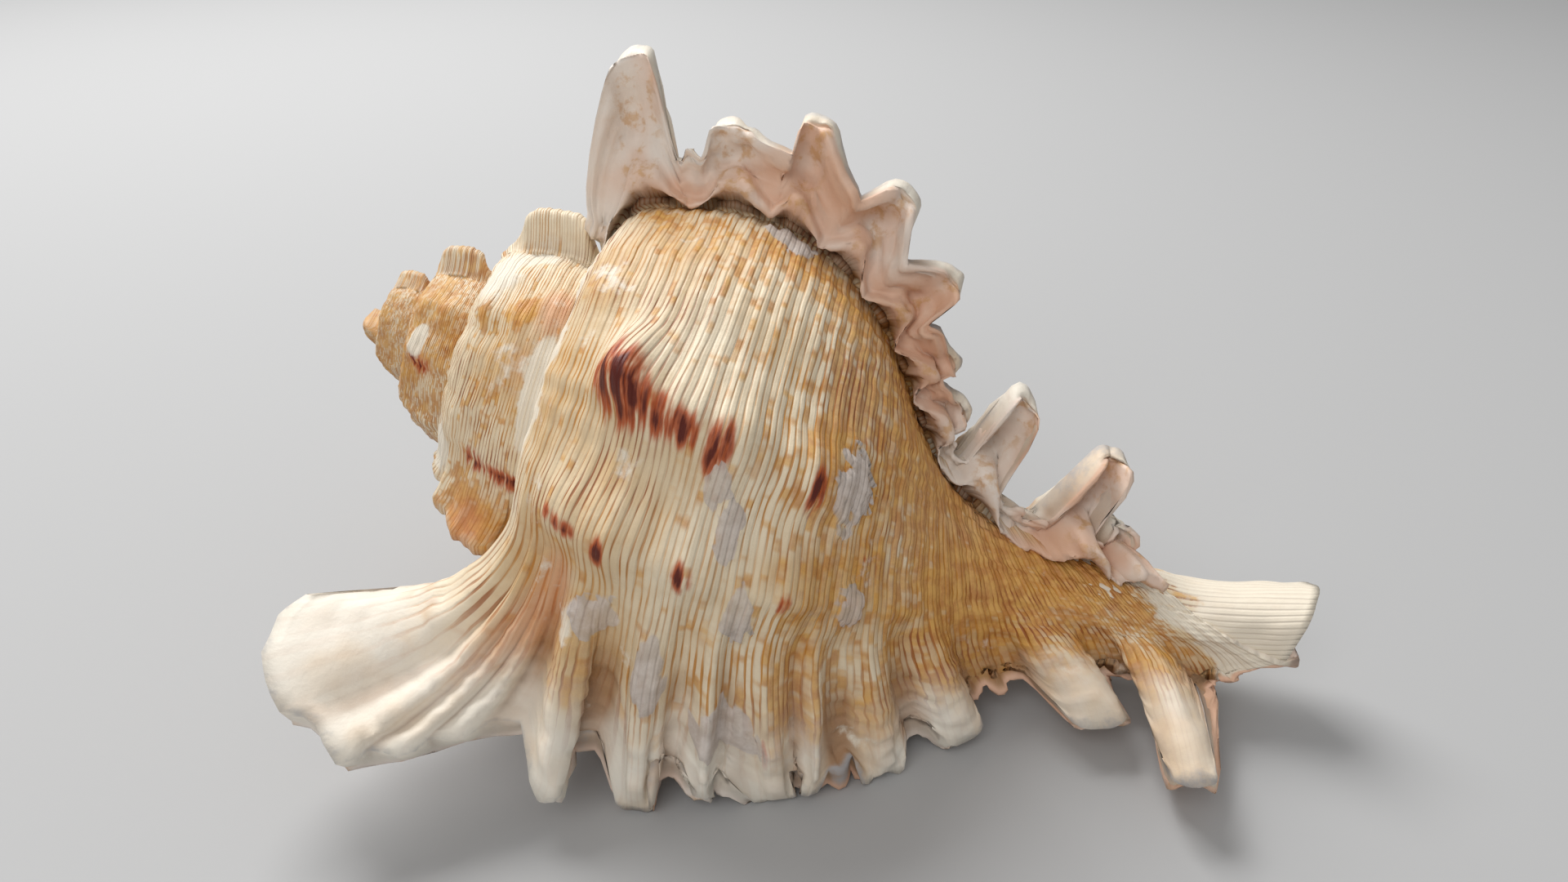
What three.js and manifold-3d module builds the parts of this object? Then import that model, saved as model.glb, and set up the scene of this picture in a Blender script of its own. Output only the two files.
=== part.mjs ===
// Branched murex shell lying on its mouth, spire to the left (-X), siphonal canal to the right (+X).
// One solid: the last whorl with three flanges of spines, the worn spire, the mouth and the canal.
// Millimetres, +Z up, origin on the floor under the middle of the bounding box.
import * as THREE from 'three';
import { mergeVertices } from 'three/addons/utils/BufferGeometryUtils.js';
import Module from 'manifold-3d';

// Growth: every length gains this ratio in one turn, turn 0 is the outer lip, older shell is negative
const WHORL_RATIO = 1.72;
const FLANGE_STEP = 120;
const OLDEST_FLANGE = 9;
const SPIRE_LIFT = 8;

// Outline of the last whorl at the lip: distance along the axis from the apex, radius from the axis
const OUTLINE = [
  [46, 29], [47.5, 38], [51, 45], [61, 50], [73, 53], [85, 52.5], [96, 48.5], [105.5, 42],
  [113, 34.5], [119.5, 26.5], [127, 19], [137, 13.5], [150, 10.5], [164, 9.5], [180, 8.5],
];

// Canal: it curves upwards past this distance from the apex, as does the axis, and its end is worn short
const BEND_START = 115;
const BEND_RATE = 0.006;
const BEND_ANGLE = 86.3;
const CANAL_RADIUS = [[0, 4], [0.18, 11], [1, 6.8]];
const CANAL_BORE = 2.6;
const CANAL_SLIT = 3;
const CANAL_OPENS_AT = -75;
const CANAL_ENDS = [90, 178];
const CANAL_WORN_AT = 172;
const CANAL_WORN_TILT = 24;
const CANAL_CUTTER = 40;
const NECK_AXIS = [[174, 0], [158, 0.5], [142, 0.8], [126, 0.8], [108, 0.5]];

// Flanges: degrees of flare behind the edge, of front face ahead of it, and of younger shell buried in it
const FLARE_TURN = 22;
const FRONT_TURN = 7;
const ROOT_TURN = 12;
const EDGE_THICKNESS = 2.4;
const WEB_HEIGHT = 8.5;
const OLD_WEB_HEIGHT = 12;

// Spines of the outer lip: place on the outline, tip offset along and away from the axis, lean, half width
const LIP_SPINES = [
  [0.125, -30, 21, 0, 0.056], [0.208, 0, 15, 6, 0.026], [0.285, 4, 11, 9, 0.026],
  [0.345, 3.5, 7, 4, 0.016], [0.4, 7.5, 6.5, 8, 0.026], [0.45, 3.6, 6.7, 4, 0.014],
  [0.517, 6.5, 7, 8, 0.028], [0.6, 7.3, 5.7, 6, 0.03], [0.738, 10, 12, 0, 0.03],
  [0.853, 10.4, 27, -6, 0.034],
];

// Spines of the flange on the upper side
const UPPER_SPINES = [
  [0.115, -13, 28, 0, 0.04], [0.235, -6, 15.6, 0, 0.028], [0.307, -2.3, 22, 0, 0.026],
  [0.378, 8, 18.5, 0, 0.024], [0.458, 12.2, 13, 0, 0.022], [0.525, 10.3, 5, 0, 0.02],
  [0.598, 9, 5.2, 0, 0.024], [0.705, 6.7, 24, 0, 0.026], [0.85, 8, 23, 0, 0.032],
  [0.94, 3.3, 9, 0, 0.026],
];

// Spines of the flange underneath, long enough to reach the floor
const LOWER_SPINES = [
  [0.115, -14, 26, 0, 0.04], [0.21, -3, 22, 0, 0.028], [0.28, 2, 36, 0, 0.028],
  [0.37, 12, 28, 0, 0.027], [0.45, 18, 25, 0, 0.027], [0.53, 13, 14, 0, 0.024],
  [0.6, 10, 9, 0, 0.024], [0.705, 8, 20, 0, 0.026], [0.85, 8, 20, 0, 0.032],
];

// Worn stubs left on the flanges of the spire
const WORN_SPINES = [[0.12, -8, 16, 0, 0.05], [0.21, -1, 15, 0, 0.03]];

// Knobs on the two ribs between the flanges: turn behind the flange, place on the outline, height
const KNOBS = [
  [-59, 0.2, 4.5], [-57, 0.265, 2.5], [-56, 0.315, 2.5], [-54, 0.4, 2],
  [-33, 0.17, 2.5], [-33, 0.23, 2.5], [-34, 0.305, 2], [-35, 0.4, 2],
];
const KNOB_TURN = 8;
const KNOB_WIDTH = 0.032;

// Mouth: the hollow of a whorl, as its outline at the lip, and how far back into the spire it runs
const HOLLOW = [
  [52, 29], [54, 41], [63, 46.3], [73, 49.2], [84, 48.8], [94, 45], [103, 39],
  [110, 31.8], [116, 24], [122, 15], [118, 6], [90, 4], [66, 10],
];
const HOLLOW_BACK = -640;
const HOLLOW_STEP = 21;

// Places on the outline that carry facet edges besides those of the spines
const WHORL_COLUMNS = [0, 0.03, 0.06, 0.09, 0.17, 0.245, 0.32, 0.42, 0.485, 0.56, 0.65, 0.78, 0.9, 1];
const SPIRE_COLUMNS = [0, 0.06, 0.12, 0.18, 0.25, 0.32, 0.5, 0.65, 1];

// Pose on the floor
const LIP_ANGLE = -18.76;
const YAW = -15.54;
const PITCH = 17.62;
const REST = new THREE.Vector3(-81.036, 21.359, 54.2);
const FLOOR_CUTTER = 400;

const rad = THREE.MathUtils.degToRad;
const outline = new THREE.CatmullRomCurve3(OUTLINE.map(([u, r]) => new THREE.Vector3(u, r, 0)), false, 'chordal');
outline.arcLengthDivisions = 800;

// A point of the whorl: turn of growth, distance along the axis and radius at lip size
function place(turn, along, radius) {
  const size = WHORL_RATIO ** (turn / 360);
  const angle = rad(LIP_ANGLE - turn);
  const u = size * along - SPIRE_LIFT * (1 - size) ** 2;
  const bend = BEND_RATE * Math.max(u - BEND_START, 0) ** 2;
  const y = -size * radius * Math.cos(angle) - bend * Math.cos(rad(BEND_ANGLE));
  const z = size * radius * Math.sin(angle) + bend * Math.sin(rad(BEND_ANGLE));
  return new THREE.Vector3(u, y, z);
}

// Offset of a flange edge from the whorl at one place on the outline, with its lean
function edgeOffset(s, spines, web, covered) {
  const tangent = outline.getTangentAt(s);
  const rise = THREE.MathUtils.smoothstep(s, 0, 0.09);
  const fall = covered ? THREE.MathUtils.smoothstep(s, 0.24, 0.3) : 0.45 * THREE.MathUtils.smoothstep(s, 0.5, 0.65);
  const fade = rise * (1 - fall) * (1 - THREE.MathUtils.smoothstep(s, 0.9, 1));
  const offset = { along: -tangent.y * web * fade, out: tangent.x * web * fade, lean: 0 };
  for (const [center, along, out, lean, half] of spines) {
    const weight = Math.exp(-(((s - center) / half) ** 6));
    offset.along += (along - offset.along) * weight;
    offset.out += (out - offset.out) * weight;
    offset.lean += (lean - offset.lean) * weight;
  }
  return offset;
}

// Height of the rib knobs at a turn behind the flange
function knob(turn, s) {
  let height = 0;
  for (const [center, spot, top] of KNOBS) {
    const a = (turn - center) / KNOB_TURN;
    const b = (s - spot) / KNOB_WIDTH;
    height += top * Math.exp(-a * a - b * b);
  }
  return height;
}

// Closed solid through a row of rings of equal length, with both ends capped
const wasm = await Module();
wasm.setup();
function loft(rings, flatRing) {
  const positions = [];
  const known = new Map();
  const vertex = (p) => {
    const key = `${p.x.toFixed(4)},${p.y.toFixed(4)},${p.z.toFixed(4)}`;
    if (!known.has(key)) {
      known.set(key, positions.length / 3);
      positions.push(p.x, p.y, p.z);
    }
    return known.get(key);
  };
  const rows = rings.map((ring) => ring.map(vertex));
  const triangles = [];
  const face = (a, b, c) => {
    if (a !== b && b !== c && c !== a) {
      triangles.push(a, b, c);
    }
  };
  const count = flatRing.length;
  for (let j = 0; j + 1 < rows.length; j += 1) {
    for (let i = 0; i < count; i += 1) {
      const k = (i + 1) % count;
      face(rows[j][i], rows[j + 1][i], rows[j + 1][k]);
      face(rows[j][i], rows[j + 1][k], rows[j][k]);
    }
  }
  const last = rows[rows.length - 1];
  for (const corners of THREE.ShapeUtils.triangulateShape(flatRing, [])) {
    const [a, b, c] = corners.sort((first, second) => first - second);
    face(rows[0][a], rows[0][b], rows[0][c]);
    face(last[c], last[b], last[a]);
  }
  const solid = new wasm.Manifold(new wasm.Mesh({
    numProp: 3,
    vertProperties: new Float32Array(positions),
    triVerts: new Uint32Array(triangles),
  }));
  if (solid.volume() > 0) {
    return solid;
  }
  const flipped = triangles.map((value, i) => triangles[i - (i % 3) + (2 - (i % 3))]);
  return new wasm.Manifold(new wasm.Mesh({
    numProp: 3,
    vertProperties: new Float32Array(positions),
    triVerts: new Uint32Array(flipped),
  }));
}

// Columns on the outline: the foot, flank and crest of each spine, and the webs between them
function columnsFor(spines, plain) {
  const columns = plain.slice();
  for (const [center, , , , half] of spines) {
    columns.push(center, center - 0.62 * half, center + 0.62 * half, center - 1.2 * half, center + 1.2 * half);
  }
  const sorted = columns.filter((s) => s >= 0 && s <= 1).sort((a, b) => a - b);
  return sorted.filter((s, i) => i === 0 || s - sorted[i - 1] > 0.009);
}

// One third of a whorl, filled to the axis, ending in the flange at its younger side
function sector(index, spines, web, bodyRows, plainColumns, covered) {
  const edgeTurn = -FLANGE_STEP * index;
  const columns = columnsFor(spines, plainColumns);
  const points = columns.map((s) => outline.getPointAt(s));
  const startTurn = edgeTurn - FLANGE_STEP + FRONT_TURN + 2;
  const rows = [points.map((p) => place(startTurn - ROOT_TURN, THREE.MathUtils.lerp(p.x, 90, 0.06), p.y * 0.88))];
  for (let j = 0; j <= bodyRows; j += 1) {
    const turn = THREE.MathUtils.lerp(startTurn, edgeTurn - FLARE_TURN, j / bodyRows);
    rows.push(points.map((p, i) => {
      const rise = knob(turn - edgeTurn, columns[i]);
      return place(turn, p.x, p.y + rise);
    }));
  }
  const offsets = columns.map((s) => edgeOffset(s, spines, web, covered));
  const edge = points.map((p, i) => {
    const { along, out, lean } = offsets[i];
    return place(edgeTurn + lean, p.x + along, p.y + out);
  });
  for (const t of [0.45, 0.78, 1]) {
    rows.push(points.map((p, i) => {
      const { along, out } = offsets[i];
      const from = place(edgeTurn - FLARE_TURN, p.x, p.y);
      const turning = place(edgeTurn - 4, p.x + 0.12 * along, p.y + 0.12 * out);
      return new THREE.QuadraticBezierCurve3(from, turning, edge[i]).getPoint(t);
    }));
  }
  const thickness = points.map((p, i) => {
    const ahead = THREE.MathUtils.radToDeg(EDGE_THICKNESS / (p.y + offsets[i].out));
    return Math.min(ahead, 0.6 * FRONT_TURN);
  });
  rows.push(points.map((p, i) => {
    const { along, out, lean } = offsets[i];
    return place(edgeTurn + lean + thickness[i], p.x + along, p.y + out);
  }));
  rows.push(points.map((p, i) => {
    const { along, out, lean } = offsets[i];
    return place(edgeTurn + 0.35 * lean + thickness[i] + 1, p.x + 0.4 * along, p.y + 0.4 * out);
  }));
  rows.push(points.map((p) => place(edgeTurn + FRONT_TURN, p.x, p.y)));
  const top = place(startTurn, OUTLINE[0][0], 0);
  const axis = NECK_AXIS.map(([u]) => place(edgeTurn, u, 0));
  const flat = [new THREE.Vector2(OUTLINE[0][0], 0), ...points.map((p) => new THREE.Vector2(p.x, p.y)),
    ...NECK_AXIS.map(([u, sag]) => new THREE.Vector2(u, -sag))];
  return loft(rows.map((row) => [top, ...row, ...axis]), flat);
}

// Hollow of the whorls between two turns
function hollow(from, to) {
  const steps = Math.ceil((to - from) / HOLLOW_STEP);
  const rings = [];
  for (let j = 0; j <= steps; j += 1) {
    const turn = THREE.MathUtils.lerp(from, to, j / steps);
    rings.push(HOLLOW.map(([u, r]) => place(turn, u, r)));
  }
  return loft(rings, HOLLOW.map(([u, r]) => new THREE.Vector2(u, r)));
}

// Centre line of the canal with its section axes
function canalFrame(t) {
  const u = THREE.MathUtils.lerp(CANAL_ENDS[0], CANAL_ENDS[1], t);
  const bend = BEND_RATE * Math.max(u - BEND_START, 0) ** 2;
  const turn = rad(BEND_ANGLE);
  const center = new THREE.Vector3(u, -bend * Math.cos(turn), bend * Math.sin(turn));
  const open = rad(CANAL_OPENS_AT);
  const out = new THREE.Vector3(0, -Math.cos(open), Math.sin(open));
  const side = new THREE.Vector3(0, Math.sin(open), Math.cos(open));
  return { center, out, side };
}

// Lengthwise solid about the canal's centre line, from a section that may change along it
function canalSolid(steps, section, from, to) {
  const rings = [];
  for (let j = 0; j <= steps; j += 1) {
    const t = THREE.MathUtils.lerp(from, to, j / steps);
    const { center, out, side } = canalFrame(t);
    rings.push(section(t).map(([a, b]) => center.clone().addScaledVector(out, a).addScaledVector(side, b)));
  }
  return loft(rings, section(from).map(([a, b]) => new THREE.Vector2(a, b)));
}

// Wall of the canal, round in section and tapering
function canalWall(t) {
  const [start, full, end] = CANAL_RADIUS;
  const [from, to] = t < full[0] ? [start, full] : [full, end];
  const radius = THREE.MathUtils.mapLinear(t, from[0], to[0], from[1], to[1]);
  const section = [];
  for (let i = 0; i < 14; i += 1) {
    const angle = (i / 14) * 2 * Math.PI;
    section.push([radius * Math.cos(angle), radius * Math.sin(angle)]);
  }
  return section;
}

// Bore of the canal with the slit that opens it underneath
function canalBore() {
  const section = [];
  for (let i = 1; i < 8; i += 1) {
    const angle = (i / 8) * 2 * Math.PI;
    section.push([CANAL_BORE * Math.cos(angle), CANAL_BORE * Math.sin(angle)]);
  }
  section.push([16, -CANAL_SLIT / 2], [16, CANAL_SLIT / 2]);
  return section;
}

// Last whorl: three filled thirds and the canal, then its hollow and the canal's bore taken out
let solid = sector(0, LIP_SPINES, WEB_HEIGHT, 7, WHORL_COLUMNS, false);
solid = solid.add(sector(1, UPPER_SPINES, WEB_HEIGHT * 1.15, 7, WHORL_COLUMNS, false));
solid = solid.add(sector(2, LOWER_SPINES, WEB_HEIGHT * 1.15, 7, WHORL_COLUMNS, false));
solid = solid.add(canalSolid(8, canalWall, 0, 1));
solid = solid.subtract(hollow(-368, FRONT_TURN + 2));
solid = solid.subtract(canalSolid(8, canalBore, 0.32, 1.05));

// The whorl before it, hollow too, and the filled tip of the spire
for (let index = 3; index < 6; index += 1) {
  solid = solid.add(sector(index, WORN_SPINES, OLD_WEB_HEIGHT, 3, SPIRE_COLUMNS, true));
}
solid = solid.subtract(hollow(HOLLOW_BACK, FRONT_TURN - 358));
for (let index = 6; index <= OLDEST_FLANGE; index += 1) {
  solid = solid.add(sector(index, [], OLD_WEB_HEIGHT, 3, SPIRE_COLUMNS, true));
}

// Block below the plane z = 0 of a frame, to cut with
function cutter(side, frame) {
  const block = new THREE.BoxGeometry(side, side, side);
  block.translate(0, 0, -side / 2);
  block.applyMatrix4(frame);
  block.deleteAttribute('normal');
  block.deleteAttribute('uv');
  const merged = mergeVertices(block, 0.01);
  return new wasm.Manifold(new wasm.Mesh({
    numProp: 3,
    vertProperties: new Float32Array(merged.getAttribute('position').array),
    triVerts: new Uint32Array(merged.getIndex().array),
  }));
}

// The end of the canal is broken off short, leaning a little
const worn = new THREE.Object3D();
worn.position.copy(place(0, CANAL_WORN_AT, 0));
worn.rotation.y = rad(-90 - CANAL_WORN_TILT);
worn.updateMatrix();
solid = solid.subtract(cutter(CANAL_CUTTER, worn.matrix));

// The pose stands the shell on its spine tips, which are worn flat where they meet the floor
const murex = new THREE.Group();
murex.name = 'murex';
murex.rotation.set(0, rad(PITCH), rad(YAW), 'ZYX');
murex.position.copy(REST);
murex.updateMatrix();
solid = solid.subtract(cutter(FLOOR_CUTTER, murex.matrix.clone().invert()));

const made = solid.getMesh();
const geometry = new THREE.BufferGeometry();
geometry.setAttribute('position', new THREE.BufferAttribute(made.vertProperties, made.numProp));
geometry.setIndex(new THREE.BufferAttribute(made.triVerts, 1));
geometry.computeVertexNormals();

const lime = new THREE.MeshStandardMaterial({ color: 0xe8d3ae, roughness: 0.55, metalness: 0 });
const shell = new THREE.Mesh(geometry, lime);
shell.name = 'shell';

murex.add(shell);

export default murex;
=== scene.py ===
import math

import bmesh
import bpy
import numpy as np
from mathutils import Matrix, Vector


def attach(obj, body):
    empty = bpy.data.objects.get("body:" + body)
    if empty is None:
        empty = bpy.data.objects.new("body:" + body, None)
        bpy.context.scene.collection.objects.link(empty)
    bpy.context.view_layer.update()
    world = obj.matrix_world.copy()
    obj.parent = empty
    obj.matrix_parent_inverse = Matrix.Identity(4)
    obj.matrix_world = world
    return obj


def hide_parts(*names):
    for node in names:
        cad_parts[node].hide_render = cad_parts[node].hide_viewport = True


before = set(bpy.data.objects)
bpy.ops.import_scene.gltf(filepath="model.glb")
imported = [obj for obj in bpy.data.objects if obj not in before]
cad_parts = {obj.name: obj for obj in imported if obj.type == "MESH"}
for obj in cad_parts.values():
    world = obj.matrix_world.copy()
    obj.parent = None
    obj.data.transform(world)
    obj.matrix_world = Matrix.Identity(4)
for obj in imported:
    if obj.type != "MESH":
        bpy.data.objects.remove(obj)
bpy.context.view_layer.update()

# Last whorl: the youngest turn of the shell, a lime wall laid down in thirds by the growing mantle.
# Each third ends in a flange of folded spines, and the last flange is the outer lip of the mouth.
# Lengths are in millimetres at lip size, and every length grows by the same ratio in one turn.
GROWTH_RATIO = 1.72
SPIRE_LIFT = 8.0
LIP_ANGLE = -18.76
YAW = -15.54
PITCH = 17.62
REST = (-81.036, 21.359, 54.2)
BEND_START = 115.0
BEND_RATE = 0.006
BEND_ANGLE = 86.3
OUTLINE = np.array([
    (46, 29), (47.5, 38), (51, 45), (61, 50), (73, 53), (85, 52.5), (96, 48.5), (105.5, 42),
    (113, 34.5), (119.5, 26.5), (127, 19), (137, 13.5), (150, 10.5), (164, 9.5), (180, 8.5),
], float)


def place(turn, along, radius):
    """Point of the spiral in metres: size = ratio ** (turn / 360), the axial distance and the radius are
    multiplied by it, and the radius points to the angle of the turn. The canal bends up with the square
    of the distance past its start, but droops near its worn end. The whole is then set down on the floor."""
    size = GROWTH_RATIO ** (turn / 360)
    angle = np.radians(LIP_ANGLE - turn)
    along = along - 0.27 * np.maximum(along - 150, 0)
    u = size * along - SPIRE_LIFT * (1 - size) ** 2
    bend = BEND_RATE * np.maximum(u - BEND_START, 0) ** 2
    bend = bend - 4.6 * smooth(u, 135, 173) * (1 - smooth(size * radius, 10, 18))
    y = -size * radius * np.cos(angle) - bend * math.cos(math.radians(BEND_ANGLE))
    z = size * radius * np.sin(angle) + bend * math.sin(math.radians(BEND_ANGLE))
    return settle(u, y, z)


def settle(u, y, z):
    """Turns axis coordinates into the frame: pitch about Y, then yaw about Z, then the move to the floor."""
    pitch, yaw = math.radians(PITCH), math.radians(YAW)
    x = math.cos(pitch) * u + math.sin(pitch) * z
    up = math.cos(pitch) * z - math.sin(pitch) * u
    right = math.cos(yaw) * x - math.sin(yaw) * y
    back = math.sin(yaw) * x + math.cos(yaw) * y
    return np.stack([right + REST[0], back + REST[1], up + REST[2]], axis=-1) * 0.001


def smooth(x, low, high):
    """Smooth step from 0 at low to 1 at high: 3 t squared minus 2 t cubed."""
    t = np.clip((x - low) / (high - low), 0, 1)
    return t * t * (3 - 2 * t)


def lumps(a, b, seed):
    """Smooth random heights from -1 to 1: random values on a unit lattice, blended by smooth steps."""
    table = np.random.default_rng(seed).uniform(-1, 1, (64, 64))
    i = np.floor(a).astype(int)
    j = np.floor(b).astype(int)
    fa = smooth(a - i, 0, 1)
    fb = smooth(b - j, 0, 1)
    near = table[i % 64, j % 64] * (1 - fa) + table[(i + 1) % 64, j % 64] * fa
    far = table[i % 64, (j + 1) % 64] * (1 - fa) + table[(i + 1) % 64, (j + 1) % 64] * fa
    return near * (1 - fb) + far * fb


def outline(s):
    """Whorl outline at arc length s from 0 to 1: a chordal Catmull-Rom curve through the outline's points.
    Gives the axial distance, the radius, and the outward normal's two parts."""
    ends = np.vstack([2 * OUTLINE[:1] - OUTLINE[1:2], OUTLINE, 2 * OUTLINE[-1:] - OUTLINE[-2:-1]])
    gap = np.linalg.norm(np.diff(ends, axis=0), axis=1)[:, None]
    before, start, stop, after = ends[:-3], ends[1:-2], ends[2:-1], ends[3:]
    g0, g1, g2 = gap[:-2], gap[1:-1], gap[2:]
    leave = ((start - before) / g0 - (stop - before) / (g0 + g1) + (stop - start) / g1) * g1
    reach = ((stop - start) / g1 - (after - start) / (g1 + g2) + (after - stop) / g2) * g1
    t = np.linspace(0, 1, 80)[None, :, None]
    a, b, c, d = (x[:, None, :] for x in (start, leave, stop, reach))
    curve = a + b * t + (3 * c - 3 * a - 2 * b - d) * t ** 2 + (2 * a - 2 * c + b + d) * t ** 3
    curve = curve.reshape(-1, 2)
    step = np.linalg.norm(np.diff(curve, axis=0), axis=1)
    keep = np.r_[True, step > 1e-9]
    curve = curve[keep]
    length = np.r_[0, np.cumsum(np.linalg.norm(np.diff(curve, axis=0), axis=1))]
    length = length / length[-1]
    slope = np.gradient(curve, axis=0)
    slope = slope / np.linalg.norm(slope, axis=1, keepdims=True)
    return [np.interp(s, length, v) for v in (curve[:, 0], curve[:, 1], -slope[:, 1], slope[:, 0])]


# Spines: place on the outline, tip offset along and away from the axis, lean in degrees, half width
LIP_SPINES = [
    (0.209, 3.4, 16.5, 3, 0.021), (0.285, 4, 11, 9, 0.024), (0.345, 3.5, 7, 4, 0.012),
    (0.4, 7.5, 6.5, 8, 0.024),
    (0.45, 3.6, 6.7, 4, 0.012), (0.517, 6.5, 7, 8, 0.026), (0.6, 7.3, 5.7, 6, 0.028),
    (0.738, 10, 12, 0, 0.033), (0.853, 10.4, 27, -6, 0.037),
]
# Edge of the broad tongue beside the lip's shoulder: place, offset along and away from the axis
LIP_TONGUE = np.array([
    (0.066, -5, 4), (0.082, -27, 15), (0.094, -29, 18.4), (0.11, -29, 22.7),
    (0.126, -23.5, 28), (0.131, -21, 26),
    (0.141, -14.4, 29.9), (0.15, -13, 26), (0.158, -9.9, 24.4), (0.165, -8.4, 20), (0.172, -5.8, 17.5),
    (0.180, -3.9, 13), (0.188, -1.1, 10.5),
])
# Pleats of the tongue: place and half width
TONGUE_PLEATS = [(0.118, 0.014), (0.141, 0.008), (0.158, 0.007), (0.172, 0.006)]
UPPER_SPINES = [
    (0.115, -13, 28, 0, 0.040), (0.235, -6, 15.6, 0, 0.034), (0.307, -2.3, 22, 0, 0.026),
    (0.378, 8, 18.5, 0, 0.026), (0.458, 12.2, 13, 0, 0.024), (0.525, 10.3, 5, 0, 0.020),
    (0.598, 9, 5.2, 0, 0.022), (0.705, 6.7, 24, 0, 0.027), (0.85, 8, 23, 0, 0.032), (0.94, 3.3, 9, 0, 0.024),
]
LOWER_SPINES = [
    (0.115, -14, 26, 0, 0.036), (0.21, -3, 22, 0, 0.026), (0.28, 2, 36, 0, 0.025), (0.37, 12, 28, 0, 0.024),
    (0.45, 18, 25, 0, 0.024), (0.53, 13, 14, 0, 0.022), (0.6, 10, 9, 0, 0.022), (0.705, 8, 20, 0, 0.024),
    (0.85, 8, 20, 0, 0.028),
]
WEB_HEIGHT = 9.8
LIP_WEB = 6.4
FLARE_TURN = 22.0
EDGE_THICKNESS = 2.4
WALL = 3.7


class Rows:
    """Rows of a grid with the growth values that its shape and finish follow."""

    def __init__(self, point, turn, height=0.0, front=0.0, hollow_shade=0.0, ridge=0.0, inside=0.0, edge=0.0):
        shape = point.shape[:2]
        self.point = point
        given = dict(turn=turn, height=height, front=front, hollow_shade=hollow_shade, ridge=ridge, inside=inside, edge=edge)
        self.value = {k: np.broadcast_to(np.asarray(v, float), shape) for k, v in given.items()}


def stack(blocks):
    """Joins blocks of rows into one grid."""
    joined = Rows(np.concatenate([b.point for b in blocks]), 0.0)
    joined.value = {k: np.concatenate([b.value[k] for b in blocks]) for k in blocks[0].value}
    return joined


def flange_edge(s, spines, web, edge_turn, covered=False, tongue=None):
    """Edge of a flange above the whorl: a web along the outline's normal, raised to each spine's tip by a
    flat-topped bell of its half width, and shortened where a tip would pass through the floor."""
    u, r, nu, nr = outline(s)
    fall = smooth(s, 0.24, 0.3) if covered else 0.45 * smooth(s, 0.5, 0.65)
    fade = smooth(s, 0, 0.09) * (1 - fall) * (1 - smooth(s, 0.9, 1))
    web_shape = 1 + 0.14 * np.sin(s * 190)
    along = web * fade * nu * web_shape
    out = web * fade * nr * web_shape
    lean = np.zeros_like(s)
    ridge = np.zeros_like(s)
    for center, tip_along, tip_out, tip_lean, half in spines:
        weight = np.exp(-np.abs((s - center) / half) ** 8)
        along = along + (tip_along - along) * weight
        out = out + (tip_out - out) * weight
        lean = lean + (tip_lean - lean) * weight
        ridge = np.maximum(ridge, np.exp(-np.abs((s - center) / (0.92 * half)) ** 2.6))
    if tongue is not None:
        weight = smooth(s, 0.05, 0.066) * (1 - smooth(s, 0.186, 0.194))
        along = along + (np.interp(s, tongue[:, 0], tongue[:, 1]) - along) * weight
        out = out + (np.interp(s, tongue[:, 0], tongue[:, 2]) - out) * weight
        lean = lean * (1 - weight)
        for center, half in TONGUE_PLEATS:
            ridge = np.maximum(ridge, 0.75 * np.exp(-((s - center) / half) ** 2))
        ridge = np.maximum(ridge, 0.8 * smooth(s, 0.07, 0.09) * (1 - smooth(s, 0.12, 0.128)))
    base = place(edge_turn, u, r)[:, 2]
    tip = place(edge_turn + lean + 1.5, u + along, r + out)[:, 2]
    short = np.clip((base - 0.0004) / np.maximum(base - tip, 1e-6), 0.2, 1)
    short = np.where(tip < 0.0004, short, 1)
    return along * short, out * short, lean, ridge


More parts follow.
